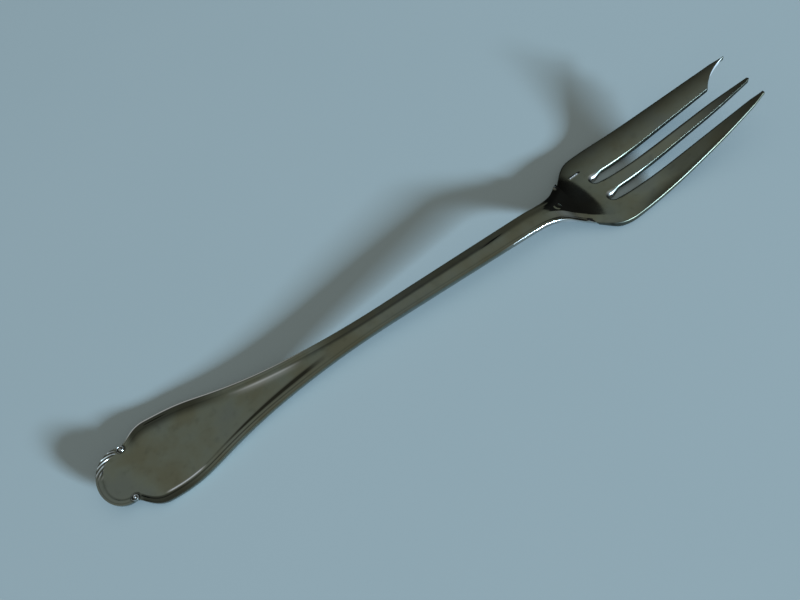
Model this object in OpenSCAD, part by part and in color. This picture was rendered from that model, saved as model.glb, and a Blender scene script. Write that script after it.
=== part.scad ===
// Serving fork with three tines, lying hollow side up on its heel and on the back of its blade.
// X runs from the end of the handle to the tips of the tines, Y to the fork's left and Z up.
// Shapes are worked out in distances from the end of the handle; the origin is under the middle of the fork.

/* [Overall] */
// Length from the end of the handle to the tip of the cutting tine
overall_length = 230; // [205:1:276]
// Length of the head, from the middle of the neck joint to the tip of the cutting tine
head_length = 68; // [57:1:78]

/* [Side view] */
// Height of the underside at the end of the handle, which curls up
end_lift = 3.7; // [2:0.1:6]
// Height of the underside where the stem arches, just behind the neck
arch_height = 5.7; // [3:0.1:12]
// Height of the underside at the tips of the tines
tip_height = 11.8; // [6:0.1:20]
// How much the rounded underside is worn flat where it rests
rest_wear = 0.5; // [0.3:0.05:0.8]

/* [Thickness] */
// Thickness at the end of the handle, over the thread
end_thickness = 2.1; // [1.8:0.1:3]
// Thickness of the blade, over the thread
blade_thickness = 2.4; // [2:0.1:3.2]
// Thickness of the stem, over the thread
stem_thickness = 3.1; // [2.6:0.1:4]
// Thickness of the palm at the heel
heel_thickness = 2.0; // [1.6:0.1:2.6]
// Thickness at the tips of the tines
tip_thickness = 1.4; // [1.1:0.1:1.8]

/* [Handle outline] */
// Half width of the round lobe at the end of the handle
lobe_half_width = 9.2; // [7:0.1:11]
// Length of the lobe up to its widest place
lobe_length = 6.6; // [5:0.1:9]
// Half width of the blade
blade_half_width = 13.8; // [11.5:0.1:16.5]
// Distance from the end of the handle to the fullest part of the blade's front shoulder
shoulder_at = 13.5; // [12:0.1:15]
// Distance from the end of the handle to where the blade starts to taper
taper_from = 25; // [21:0.5:34]
// Distance from the end of the handle to where the blade has run out into the stem
taper_to = 76; // [60:1:95]
// Half width of the stem
stem_half_width = 3.5; // [2.8:0.1:4.5]
// Half width of the handle at the neck joint
neck_half_width = 9.4; // [7.5:0.1:11]

/* [Thread border] */
// Width of the raised thread along the blade
blade_thread = 1.6; // [1.2:0.05:2]
// Width of the raised thread along the stem
stem_thread = 1.1; // [0.8:0.05:1.3]
// Width of the raised thread where it ends at the neck
neck_thread = 1.6; // [1.1:0.05:2]
// Height of the thread over the field inside it
thread_height = 0.5; // [0.3:0.05:0.7]
// Share of that height which the thread keeps at the neck
neck_rise = 0.55; // [0.3:0.05:1]
// Width of the fine rim along the outer edge of the blade's thread
rim_width = 0.45; // [0.3:0.05:0.6]
// Width of the groove at the inner foot of the thread
groove_width = 0.35; // [0.2:0.05:0.6]
// How far the middle of the stem is crowned over the groove
stem_crown = 0.55; // [0.2:0.05:0.8]

/* [Head outline] */
// Half width of the head at the cutting tine's shoulder, on the left
left_shoulder = 17.4; // [14.5:0.1:20]
// Half width of the head at the outer tine's shoulder, on the right
right_shoulder = 14.5; // [12:0.1:17]
// Distance from the axis to the tip of the cutting tine
cutting_tip_side = 13.6; // [11:0.1:15]
// Distance from the axis to the tip of the outer tine
outer_tip_side = 6.9; // [6.1:0.1:8.5]
// How much deeper the middle of the palm lies than its edges
palm_hollow = 0.5; // [0:0.05:1]

/* [Slots and tines] */
// Width of each slot at its round root
slot_width = 3.6; // [3:0.1:4.4]
// Distance from the neck joint to the round end of the slots
slot_root = 9.6; // [7:0.1:12]
// Width of the middle tine at its root
middle_tine_root = 5.2; // [4:0.1:6.2]
// Width of the middle tine where its point begins
middle_tine_waist = 3.3; // [2.4:0.1:3.9]
// Length of the middle tine's point
middle_point = 13; // [9:0.5:18]
// Width of the middle tine at its round tip
middle_tine_tip = 1.2; // [1:0.1:1.8]
// Distance from the axis to the middle of the middle tine, to the left
middle_tine_side = 0.95; // [0.2:0.05:1.5]
// How much shorter the middle tine is than the cutting tine
middle_tine_short = 1.6; // [0:0.1:4]
// How much shorter the outer tine is than the cutting tine
outer_tine_short = 2.5; // [0:0.1:5]
// Length of the concave cut at the end of the cutting tine
cut_length = 11.1; // [8:0.1:15]
// Depth of the hollow of that cut
cut_hollow = 1.3; // [0.5:0.1:2]
// Rounding of the edges of the head
edge_round = 0.45; // [0.2:0.05:0.55]

/* [Neck joint] */
// Length that the slanted joint takes up along the fork for each millimetre of its height
joint_slant = 0.6; // [0:0.1:1]

/* [Hidden] */
neck_at = overall_length - head_length;
arch_at = neck_at - 12.5;
heel_back_at = neck_at + 6;
heel_front_at = neck_at + 22;
root_at = neck_at + slot_root + slot_width / 2;
slot_radius = slot_width / 2;
barb_at = overall_length - cut_length;
middle_left = middle_tine_side + middle_tine_root / 2;
middle_right = middle_tine_side - middle_tine_root / 2;
cutting_inner = middle_left + slot_width;
outer_inner = middle_right - slot_width;
middle_end = overall_length - middle_tine_short;
outer_end = overall_length - outer_tine_short;
back_round = 0.9;

// Corners of the underside's line seen from the side: distance, height and half length of the bend
underside_line = [
    [0, end_lift],
    [16, -rest_wear - 0.1, 15],
    [arch_at, arch_height, 9],
    [heel_back_at, -rest_wear + 0.1, 11],
    [heel_front_at, -rest_wear + 0.1, 15],
    [overall_length, tip_height]
];

// Corners of the thickness over the thread, which the head carries on below the thread's own height
thickness_line = [
    [0, end_thickness],
    [50, blade_thickness, 20],
    [100, stem_thickness, 25],
    [neck_at, stem_thickness - 0.1, 10],
    [heel_front_at, heel_thickness + thread_height, 15],
    [overall_length, tip_thickness + thread_height]
];

// Corners of the blade and stem in plan, as half widths
blade_line = [
    [lobe_length + 0.9, lobe_half_width - 0.6],
    [lobe_length + 2.1, lobe_half_width - 0.25, 1.2],
    [shoulder_at, blade_half_width, 3.8],
    [taper_from, blade_half_width, 9],
    [taper_from * 0.59 + taper_to * 0.41, blade_half_width * 0.535, 16],
    [taper_to, stem_half_width - 0.2, 24],
    [neck_at - 6.9, stem_half_width + 0.35, 8.8],
    [neck_at, neck_half_width + 0.4]
];

// Corners of the head's left and right outline, as distances from the axis
left_line = [
    [neck_at, neck_half_width + 0.2],
    [neck_at + 5.2, left_shoulder - 0.8, 5.4],
    [neck_at + 9, left_shoulder + 1, 18],
    [overall_length, cutting_tip_side]
];
right_line = [
    [neck_at - 0.5, neck_half_width + 1.2],
    [neck_at + 3, right_shoulder + 0.85, 10.6],
    [neck_at + 49, right_shoulder - 4.1, 22],
    [outer_end, outer_tip_side]
];

// A step that grows into a straight climb over a bend of half length r, with no jump in its curvature
function bend(d, r) = d <= -r ? 0 : d >= r ? d : r * (3 / 16 + d / r / 2 + 3 * (d / r) ^ 2 / 8 - (d / r) ^ 4 / 16);
function slope(line, k) = (line[k + 1][1] - line[k][1]) / (line[k + 1][0] - line[k][0]);
function total(list) = list * [for (e = list) 1];
// Height at x of a line through corners that are rounded by their bends
function bent(line, x) = line[0][1] + slope(line, 0) * (x - line[0][0])
    + total([for (k = [1 : len(line) - 2]) (slope(line, k) - slope(line, k - 1)) * bend(x - line[k][0], line[k][2])]);
function mix(a, b, t) = a + (b - a) * t;
function ease(t) = t <= 0 ? 0 : t >= 1 ? 1 : t * t * (3 - 2 * t);
// n places from a up to, but not at, b
function places(a, b, n) = [for (k = [0 : n - 1]) mix(a, b, k / n)];

function underside(x) = bent(underside_line, x);
function field_level(x) = underside(x) + bent(thickness_line, x) - thread_height;

// Half width of the handle: the lobe's ellipse, then whichever of lobe and blade stands out further
function lobe(x) = lobe_half_width * sqrt(max(0, 1 - ((lobe_length - x) / lobe_length) ^ 2));
function handle_width(x) = x < lobe_length + 0.9 ? lobe(x) : max(lobe(x), bent(blade_line, x));

// Where the cross line that starts at x on the outline meets the axis, so that the lines fan out in the lobe
function spine(x) = x < 2 * lobe_length ? lobe_length + x * x / (4 * lobe_length) : x;
// 0 on the blade and 1 on the stem, with the taper between them
function slimness(x) = ease((x - taper_from) / (taper_to - taper_from));
// 1 along the handle, falling to 0 at the neck joint
function behind_neck(x) = ease((neck_at - x) / 14);
function thread(x) = mix(neck_thread, mix(blade_thread, stem_thread, slimness(x)), behind_neck(x));
function thread_rise(x) = thread_height * mix(neck_rise, 1, behind_neck(x));
// How far the middle of the field stands over its edges
function swell(x) = stem_crown * slimness(x) - 0.12 * ease((x - taper_from) / 20);

// Distances from the outline of the points across the top and the underside of half a cross section
function top_steps(x, len) = let (b = thread(x), f = b + groove_width, s = rim_share)
    [0, s / 2 * b, 1.15 * s * b, mix(s, 1, 0.42) * b, mix(s, 1, 0.72) * b, b, f, mix(f, len, 0.5), len];
function under_steps(len) = let (r = back_round)
    [0, 0.12 * r, 0.4 * r, 0.7 * r, r, mix(r, len, 0.25), mix(r, len, 0.5), mix(r, len, 0.75), len];
half_steps = 9;
ring_size = 4 * half_steps - 2;

// Height of the thread at a share u of its width: a fine rim, then a bead that is fullest near the groove
rim_share = rim_width / blade_thread;
function rim(u) = 0.45 * exp(-((u - rim_share / 2) / 0.09) ^ 2);
function bead(u) = sin(180 * max(0, (u - rim_share) / (1 - rim_share)) ^ 1.63);
function thread_profile(u) = 1.15 * max(rim(u), bead(u)) - 0.15;

// Height over the field at distance d inside the outline: the thread, its groove and the swell of the middle
function relief(x, d, len) = let (b = thread(x), f = b + groove_width)
    d <= b ? thread_rise(x) * thread_profile(d / b)
    : d < f ? 0
    : behind_neck(x) * (0.12 + swell(x) * (1 - ((len - d) / (len - f)) ^ 2));
// Rise of the underside towards its rounded edge
function back_rise(x, d, len) = mix(0.3, 0.5, ease((x - taper_from) / 50)) * (1 - d / len) ^ 2
    + (d >= back_round ? 0 : 0.7 * back_round * (1 - sqrt(1 - (1 - d / back_round) ^ 2)));

// The joint's slant, which leans the last cross sections of the handle and the first ones of the head
joint_height = underside(neck_at) + (stem_thickness - 0.1) / 2;
function lean(x, z) = joint_slant * (joint_height - z) * ease(1 - abs(x - neck_at) / 7);

// A point of the handle's cross section that starts at x, on the left (side = 1) or the right (side = -1)
function handle_point(x, d, len, side, top) =
    let (t = d / len, px = mix(x, spine(x), t), py = handle_width(x) * (1 - t))
    let (z = top ? field_level(px) + relief(x, d, len) : max(0, underside(px) + back_rise(x, d, len)))
    [px + lean(x, z), side * py, z];
function handle_ring(x) =
    let (len = norm([spine(x) - x, handle_width(x)]), up = top_steps(x, len), down = under_steps(len))
    concat(
        [for (k = [0 : half_steps - 1]) handle_point(x, up[k], len, 1, true)],
        [for (k = [half_steps - 2 : -1 : 0]) handle_point(x, up[k], len, -1, true)],
        [for (k = [0 : half_steps - 1]) handle_point(x, down[k], len, -1, false)],
        [for (k = [half_steps - 2 : -1 : 0]) handle_point(x, down[k], len, 1, false)]
    );

// Distances from the end at which the handle's cross sections stand, closer together where it turns fast
handle_stations = concat(
    [for (a = [0 : 7.5 : 82.5]) lobe_length * (1 - cos(a))],
    places(lobe_length, lobe_length + 2.4, 6),
    places(lobe_length + 2.4, 16, 8),
    places(16, taper_from + 14, 9),
    places(taper_from + 14, arch_at - 8, 18),
    places(arch_at - 8, neck_at, 14),
    [neck_at]
);

// The first ring is folded flat on the axis, so its right half is its left half
function handle_index(i, k) = i > 0 ? i * ring_size + k
    : k < 2 * half_steps - 1 ? min(k, 2 * half_steps - 2 - k)
    : max(k, 6 * half_steps - 4 - k);

// The origin is under the middle of the whole fork, so it lies between the widest places of the head
widest_left = max([for (x = [neck_at : 0.5 : overall_length]) bent(left_line, x)]);
widest_right = max([for (x = [neck_at : 0.5 : outer_end]) bent(right_line, x)]);
module placed() {
    translate([-overall_length / 2, (widest_right - widest_left) / 2, 0])
        children();
}

// Blade with its lobe and thread border, running into the arched stem and the flare of the neck
module handle() {
    last = len(handle_stations) - 1;
    skin = [for (i = [0 : last - 1], k = [0 : ring_size - 1]) let (n = (k + 1) % ring_size)
        [handle_index(i + 1, k), handle_index(i + 1, n), handle_index(i, n), handle_index(i, k)]];
    end_face = [for (k = [0 : 2 * half_steps - 3]) let (o = last * ring_size)
        [o + ring_size - 1 - k, o + ring_size - 2 - k, o + k + 1, o + k]];
    color("#7d7f70") placed()
        polyhedron([for (x = handle_stations) each handle_ring(x)], concat(skin, end_face), convexity = 6);
}

// Half width across the whole head and the middle of that width, for the hollow of its palm
function left_side(x) = bent(left_line, x);
function right_side(x) = bent(right_line, x);
function dish(x, y) = let (half = (left_side(x) + right_side(x)) / 2, q = (y - left_side(x) + half) / half)
    palm_hollow * q * q * ease((x - neck_at) / 12) * (1 - ease((x - root_at) / (overall_length - root_at)));
function top_level(x, y) = field_level(x) + dish(x, y);
function under_level(x, y) = max(0, underside(x) + dish(x, y));

// How far an edge at y(x) must move sideways to stand back by one millimetre at right angles
function stretch(line, x) = norm([0.1, bent(line, x + 0.05) - bent(line, x - 0.05)]) / 0.1;

// The hollow cut of the cutting tine is an arc from the barb to the tip
cut_start = [barb_at, cutting_inner];
cut_end = [overall_length, cutting_tip_side - 0.3];
cut_chord = cut_end - cut_start;
cut_radius = cut_chord * cut_chord / 8 / cut_hollow + cut_hollow / 2;
cut_centre = (cut_start + cut_end) / 2
    + (cut_radius - cut_hollow) / norm(cut_chord) * [cut_chord[1], -cut_chord[0]];
function cut_side(x) = x <= barb_at ? cutting_inner
    : cut_centre[1] + sqrt(cut_radius ^ 2 - (x - cut_centre[0]) ^ 2);

// The middle tine tapers, then narrows faster to a round end
middle_round = middle_tine_tip / 2;
middle_line = [
    [root_at, middle_tine_root / 2],
    [middle_end - middle_point, middle_tine_waist / 2, middle_point / 2],
    [middle_end - middle_round, middle_round]
];
function middle_half(x) = x < middle_end - middle_round ? bent(middle_line, x)
    : sqrt(max(0, middle_round ^ 2 - (x - middle_end + middle_round) ^ 2));

// Tines in order from the right: the outer one, the middle one and the cutting one.
// Their right and left edges, and the places of their cross rows
function tine_right(t, x) = [-right_side(x), middle_tine_side - middle_half(x), cut_side(x)][t];
function tine_left(t, x) = [outer_inner, middle_tine_side + middle_half(x), left_side(x)][t];
tine_rows = [
    [for (k = [1 : 22]) mix(root_at, outer_end, k / 22)],
    [for (k = [1 : 18]) mix(root_at, middle_end - middle_round, k / 18),
        for (a = [25, 50, 75]) middle_end - middle_round * (1 - sin(a))],
    [for (k = [1 : 16]) mix(root_at, barb_at, k / 16),
        for (k = [1 : 10]) mix(barb_at, overall_length, k / 10)]
];
tine_columns = [5, 4, 7];
slot_columns = 8;
tine_first = [0, tine_columns[0] + slot_columns, tine_columns[0] + tine_columns[1] + 2 * slot_columns];
columns = tine_first[2] + tine_columns[2];
palm_rows = 14;

// Rounding that a tine can bear where it is half wide
function tine_round(t, x) = min(edge_round, 0.35 * (tine_left(t, x) - tine_right(t, x)));

// Point of a tine in plan, on row i and column j, drawn in from the edge by f of the rounding
function tine_point(t, i, j, f) =
    let (n = len(tine_rows[t]), x = tine_rows[t][i - 1] - 0.35 * f * i / n, e = f * tine_round(t, x))
    [x, mix(tine_right(t, x) + e, tine_left(t, x) - e, j / tine_columns[t]), e / max(f, 0.001)];

// The row in which the palm ends: straight across the tines and round the ends of the slots
function slot_arc(side, f) = [for (k = [1 : slot_columns - 1]) let (a = 180 * k / slot_columns)
    [root_at, side + slot_radius] + (slot_radius + f * edge_round) * [-sin(a), -cos(a)]];
function root_span(t, f) = [for (k = [0 : tine_columns[t]])
    [root_at, mix(tine_right(t, root_at) + f * edge_round, tine_left(t, root_at) - f * edge_round,
        k / tine_columns[t])]];
function root_row(f) = concat(root_span(0, f), slot_arc(outer_inner, f), root_span(1, f),
    slot_arc(middle_left, f), root_span(2, f));
insets = [1, 0.29, 0];
root_table = [for (f = insets) root_row(f)];

// Point of the palm in plan, on row i and column j
function palm_left(x, f) = left_side(x) - f * edge_round * stretch(left_line, x);
function palm_right(x, f) = -right_side(x) + f * edge_round * stretch(right_line, x);
function palm_point(i, j, m) =
    let (f = insets[m], r = root_table[m][j], x = mix(neck_at, r[0], i / palm_rows))
    let (s = (r[1] - palm_right(r[0], f)) / (palm_left(r[0], f) - palm_right(r[0], f)))
    [x, mix(palm_right(x, f), palm_left(x, f), s), edge_round];
palm = 3;
function plan_point(g, m) = g[0] == palm ? palm_point(g[1], g[2], m) : tine_point(g[0], g[1], g[2], insets[m]);

// Every place of the head's net: the palm's rows, then the rows of each tine
net = concat(
    [for (i = [0 : palm_rows], j = [0 : columns]) [palm, i, j]],
    [for (t = [0 : 2], i = [1 : len(tine_rows[t])], j = [0 : tine_columns[t]]) [t, i, j]]
);
tine_base = let (b0 = (palm_rows + 1) * (columns + 1), b1 = b0 + len(tine_rows[0]) * (tine_columns[0] + 1))
    [b0, b1, b1 + len(tine_rows[1]) * (tine_columns[1] + 1)];
function net_index(g) = g[0] == palm ? g[1] * (columns + 1) + g[2]
    : g[1] == 0 ? palm_rows * (columns + 1) + tine_first[g[0]] + g[2]
    : tine_base[g[0]] + (g[1] - 1) * (tine_columns[g[0]] + 1) + g[2];

// The head's edge, from the left end of the neck round the three tines to the right end of the neck
function tine_edge(t) = let (n = len(tine_rows[t]), c = tine_columns[t]) concat(
    [for (i = [1 : n]) [t, i, c]],
    [for (j = [c - 1 : -1 : 1]) [t, n, j]],
    [for (i = [n : -1 : 1]) [t, i, 0]]
);
function slot_edge(t) = [for (j = [tine_first[t + 1] : -1 : tine_first[t] + tine_columns[t]]) [palm, palm_rows, j]];
edge = concat(
    [for (i = [0 : palm_rows]) [palm, i, columns]],
    tine_edge(2), slot_edge(1), tine_edge(1), slot_edge(0), tine_edge(0),
    [for (i = [palm_rows : -1 : 0]) [palm, i, 0]]
);

function raised(p, z) = [p[0] + lean(p[0], z), p[1], z];
function top_point(g, m) = let (p = plan_point(g, m)) raised(p, top_level(p[0], p[1]) - [0, 0.29, 1][m] * p[2]);
function under_point(g, m) = let (p = plan_point(g, m)) raised(p, under_level(p[0], p[1]) + [0, 0.29, 1][m] * p[2]);

// Palm with two slots, parted into a wide cutting tine, a slim middle tine and a pointed outer tine
module head() {
    n = len(net);
    m = len(edge);
    points = concat(
        [for (g = net) top_point(g, 0)],
        [for (g = net) under_point(g, 0)],
        [for (g = edge) top_point(g, 1)],
        [for (g = edge) top_point(g, 2)],
        [for (g = edge) under_point(g, 2)],
        [for (g = edge) under_point(g, 1)]
    );
    cells = concat(
        [for (i = [0 : palm_rows - 1], j = [0 : columns - 1])
            [for (c = [[0, 0], [0, 1], [1, 1], [1, 0]]) net_index([palm, i + c[0], j + c[1]])]],
        [for (t = [0 : 2], i = [0 : len(tine_rows[t]) - 1], j = [0 : tine_columns[t] - 1])
            [for (c = [[0, 0], [0, 1], [1, 1], [1, 0]]) net_index([t, i + c[0], j + c[1]])]]
    );
    // Down the edge: the top, two points of its rounding, two of the lower rounding and the underside
    levels = [for (q = [0 : m - 1]) let (g = net_index(edge[q]))
        [g, 2 * n + q, 2 * n + m + q, 2 * n + 2 * m + q, 2 * n + 3 * m + q, n + g]];
    first = levels[0];
    final = levels[m - 1];
    faces = concat(
        cells,
        [for (c = cells) [for (k = [3 : -1 : 0]) c[k] + n]],
        [for (q = [0 : m - 2], v = [0 : 4])
            [levels[q][v], levels[q][v + 1], levels[q + 1][v + 1], levels[q + 1][v]]],
        [for (j = [0 : columns - 1]) [j + 1, j, j + n, j + 1 + n]],
        [[first[0], first[5], first[4], first[3], first[2], first[1]]],
        [final]
    );
    color("#75776a") placed() polyhedron(points, faces, convexity = 8);
}

handle();
head();
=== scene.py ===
"""Looks of an old serving fork in tarnished silver plate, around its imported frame.

Lengths in the fork's own classes are millimetres. Distances along the fork run from the end of the handle to
the tips of the tines, sideways distances are positive on the fork's left, and heights start at the table.
"""

import logging
import math
from dataclasses import dataclass, field
from enum import Enum
from typing import Any

import bpy
import numpy as np
from mathutils import Matrix, Vector


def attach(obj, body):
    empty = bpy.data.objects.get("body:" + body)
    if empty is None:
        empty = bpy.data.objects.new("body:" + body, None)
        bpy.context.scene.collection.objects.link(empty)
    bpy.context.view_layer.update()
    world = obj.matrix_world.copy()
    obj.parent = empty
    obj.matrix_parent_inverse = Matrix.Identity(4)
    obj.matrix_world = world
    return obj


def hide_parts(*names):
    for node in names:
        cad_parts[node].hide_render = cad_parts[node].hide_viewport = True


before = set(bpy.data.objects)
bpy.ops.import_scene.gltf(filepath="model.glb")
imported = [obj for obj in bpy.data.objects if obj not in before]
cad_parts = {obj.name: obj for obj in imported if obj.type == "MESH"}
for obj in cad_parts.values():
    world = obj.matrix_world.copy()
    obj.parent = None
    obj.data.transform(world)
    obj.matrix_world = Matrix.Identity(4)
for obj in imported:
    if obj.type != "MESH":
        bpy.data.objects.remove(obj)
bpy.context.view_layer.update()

LOG = logging.getLogger("serving_fork")
MM = 0.001
SHARP_FROM = 55.0
Array = np.ndarray


def linear(hex_colour: str) -> tuple[float, float, float, float]:
    """Turns an sRGB colour into the linear one that shaders take.

    Args:
        hex_colour: The colour as "#RRGGBB".

    Returns:
        Red, green and blue in linear light, and an alpha of 1.
    """
    parts = [int(hex_colour[k : k + 2], 16) / 255 for k in (1, 3, 5)]
    red, green, blue = (c / 12.92 if c <= 0.04045 else ((c + 0.055) / 1.055) ** 2.4 for c in parts)
    return red, green, blue, 1.0


def per_mm(size: float) -> float:
    """Returns the texture scale, per metre, of a pattern whose features are that many millimetres apart."""
    return 1.0 / (size * MM)


def add_node(
    tree: bpy.types.NodeTree,
    kind: str,
    settings: dict[str, Any] | None = None,
    inputs: dict[int | str, Any] | None = None,
) -> bpy.types.Node:
    """Adds one node with its settings, values and links.

    Args:
        tree: The node tree that takes the node.
        kind: The node's type.
        settings: Attributes of the node.
        inputs: For each input, by name or number, a value or the socket that feeds it.

    Returns:
        The new node.
    """
    node = tree.nodes.new(kind)
    for name, value in (settings or {}).items():
        setattr(node, name, value)
    for key, value in (inputs or {}).items():
        if isinstance(value, bpy.types.NodeSocket):
            tree.links.new(value, node.inputs[key])
        else:
            node.inputs[key].default_value = value
    return node


def ease(t: Array) -> Array:
    """Returns a smooth step from 0 at t = 0 to 1 at t = 1."""
    t = np.clip(t, 0.0, 1.0)
    return t * t * (3 - 2 * t)


def mix(a: Array, b: Array, t: Array) -> Array:
    """Returns the value a share t of the way from a to b."""
    return a + (b - a) * t


def hump(distance: Array, radius: float) -> Array:
    """Returns a smooth hump of height 1 that has sunk to a third at that radius."""
    return np.exp(-((distance / radius) ** 2))


@dataclass(frozen=True)
class RoundedLine:
    """A line through corners, each given as distance, height and half length of its bend."""

    corners: tuple[tuple[float, ...], ...]

    def at(self, x: Array) -> Array:
        """Returns the height of the line at x."""
        pieces = list(zip(self.corners, self.corners[1:]))
        slopes = [(b[1] - a[1]) / (b[0] - a[0]) for a, b in pieces]
        height = self.corners[0][1] + slopes[0] * (x - self.corners[0][0])
        for corner, before, after in zip(self.corners[1:-1], slopes, slopes[1:]):
            q = np.clip((x - corner[0]) / corner[2], -1.0, 1.0)
            bend = corner[2] * (3 / 16 + q / 2 + 3 * q**2 / 8 - q**4 / 16)
            height = height + (after - before) * (bend + np.maximum(x - corner[0] - corner[2], 0.0))
        return height

    def stretch(self, x: Array) -> Array:
        """Returns how far the line moves sideways at x to stand back by one millimetre at right angles."""
        step = 0.05
        return np.hypot(1.0, (self.at(x + step) - self.at(x - step)) / (2 * step))


@dataclass(frozen=True)
class ForkForm:
    """The fork's sizes and the lines that both of its pieces follow."""

    length: float = 230.0
    head_length: float = 68.0
    end_lift: float = 3.7
    arch_height: float = 5.7
    tip_height: float = 11.8
    rest_wear: float = 0.5
    end_thickness: float = 2.1
    blade_thickness: float = 2.4
    stem_thickness: float = 3.1
    heel_thickness: float = 2.0
    tip_thickness: float = 1.4
    lobe_half_width: float = 9.2
    lobe_length: float = 6.6
    blade_half_width: float = 13.8
    shoulder_at: float = 13.5
    taper_from: float = 25.0
    taper_to: float = 76.0
    stem_half_width: float = 3.5
    neck_half_width: float = 9.4
    blade_thread: float = 1.6
    stem_thread: float = 1.1
    neck_thread: float = 1.6
    thread_height: float = 0.5
    neck_rise: float = 0.55
    left_shoulder: float = 17.4
    right_shoulder: float = 14.5
    cutting_tip_side: float = 13.6
    outer_tip_side: float = 6.9
    palm_hollow: float = 0.5
    joint_slant: float = 0.6
    joint_reach: float = 7.0
    outer_tine_short: float = 2.5

    @property
    def neck(self) -> float:
        """Distance of the neck joint from the end of the handle."""
        return self.length - self.head_length

    @property
    def outer_end(self) -> float:
        """Distance of the outer tine's tip from the end of the handle."""
        return self.length - self.outer_tine_short

    def underside(self, x: Array) -> Array:
        """Returns the height of the underside along the fork's axis."""
        low = -self.rest_wear + 0.1
        line = RoundedLine((
            (0.0, self.end_lift),
            (16.0, -self.rest_wear - 0.1, 15.0),
            (self.neck - 12.5, self.arch_height, 9.0),
            (self.neck + 6.0, low, 11.0),
            (self.neck + 22.0, low, 15.0),
            (self.length, self.tip_height),
        ))
        return line.at(x)

    def field_level(self, x: Array) -> Array:
        """Returns the height of the top face along the axis, below the thread's own height."""
        line = RoundedLine((
            (0.0, self.end_thickness),
            (50.0, self.blade_thickness, 20.0),
            (100.0, self.stem_thickness, 25.0),
            (self.neck, self.stem_thickness - 0.1, 10.0),
            (self.neck + 22.0, self.heel_thickness + self.thread_height, 15.0),
            (self.length, self.tip_thickness + self.thread_height),
        ))
        return self.underside(x) + line.at(x) - self.thread_height

    def handle_half_width(self, x: Array) -> Array:
        """Returns the handle's half width: the lobe's ellipse, then the blade, the stem and the neck's flare."""
        run_out = self.taper_from * 0.59 + self.taper_to * 0.41
        line = RoundedLine((
            (self.lobe_length + 0.9, self.lobe_half_width - 0.6),
            (self.lobe_length + 2.1, self.lobe_half_width - 0.25, 1.2),
            (self.shoulder_at, self.blade_half_width, 3.8),
            (self.taper_from, self.blade_half_width, 9.0),
            (run_out, self.blade_half_width * 0.535, 16.0),
            (self.taper_to, self.stem_half_width - 0.2, 24.0),
            (self.neck - 6.9, self.stem_half_width + 0.35, 8.8),
            (self.neck, self.neck_half_width + 0.4),
        ))
        off_centre = (self.lobe_length - x) / self.lobe_length
        lobe = self.lobe_half_width * np.sqrt(np.maximum(0.0, 1 - off_centre**2))
        return np.where(x < self.lobe_length + 0.9, lobe, np.maximum(lobe, line.at(x)))

    def slimness(self, x: Array) -> Array:
        """Returns 0 on the blade and 1 on the stem, with the taper between them."""
        return ease((x - self.taper_from) / (self.taper_to - self.taper_from))

    def behind_neck(self, x: Array) -> Array:
        """Returns 1 along the handle, falling to 0 at the neck joint."""
        return ease((self.neck - x) / 14)

    def thread_width(self, x: Array) -> Array:
        """Returns the width of the thread border at x."""
        return mix(self.neck_thread, mix(self.blade_thread, self.stem_thread, self.slimness(x)), self.behind_neck(x))

    def thread_profile(self, share: Array) -> Array:
        """Returns the border's height across it, as a share of the thread's height.

        Args:
            share: Distance inside the outline, as a share of the thread's width.

        Returns:
            A fine rim, a fine channel, a flat bead, a deeper channel and a slow rise to the field.
        """
        steps = ((0.0, 0.3), (0.16, 0.54), (0.33, 0.32), (0.55, 0.62), (0.78, 0.62), (1.15, 0.0), (1.75, 0.2))
        height = steps[0][1] + 0 * share
        for (start, low), (end, high) in zip(steps, steps[1:]):
            height = height + (high - low) * ease((share - start) / (end - start))
        return height

    def outward_tilt(self, x: Array, d: Array) -> Array:
        """Returns how far the right border near the neck falls away outwards, at distance d inside the outline."""
        return 0.13 * np.clip(3.9 - d, 0.0, 2.9) * hump(x - self.neck + 3, 10.0)

    def rubbed_sheen_band(self, x: Array, d: Array) -> Array:
        """Returns a rougher, painted-sheen band on the neck's right border, 0 to 1, at distance d inside the outline.
        """
        return hump(x - self.neck + 6.0, 3.5) * ease((d - 0.6) / 0.4) * ease((4.1 - d) / 0.5)

    @property
    def left_line(self) -> RoundedLine:
        """Outline of the head on the cutting tine's side."""
        return RoundedLine((
            (self.neck, self.neck_half_width + 0.2),
            (self.neck + 5.2, self.left_shoulder - 0.8, 5.4),
            (self.neck + 9.0, self.left_shoulder + 1.0, 18.0),
            (self.length, self.cutting_tip_side),
        ))

    @property
    def right_line(self) -> RoundedLine:
        """Outline of the head on the outer tine's side."""
        return RoundedLine((
            (self.neck - 0.5, self.neck_half_width + 1.2),
            (self.neck + 3.0, self.right_shoulder + 0.85, 10.6),
            (self.neck + 49.0, self.right_shoulder - 4.1, 22.0),
            (self.outer_end, self.outer_tip_side),
        ))

    def lean(self, x: Array, z: Array) -> Array:
        """Returns how far a point near the neck shifts along the fork, so that the joint's faces slant."""
        height = self.underside(np.array(self.neck)) + (self.stem_thickness - 0.1) / 2
        return self.joint_slant * (height - z) * ease(1 - np.abs(x - self.neck) / self.joint_reach)

    def in_frame(self, points: Array) -> Array:
        """Turns points in the fork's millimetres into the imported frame's metres.

        Args:
            points: Rows of distance along the fork, distance to the left, and height.

        Returns:
            The same rows as x, y and z in metres.
        """
        span = np.arange(self.neck, self.length + 0.5, 0.5)
        widest_left = self.left_line.at(span).max()
        widest_right = self.right_line.at(span[span <= self.outer_end]).max()
        return (points - [self.length / 2, (widest_left - widest_right) / 2, 0.0]) * MM


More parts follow.
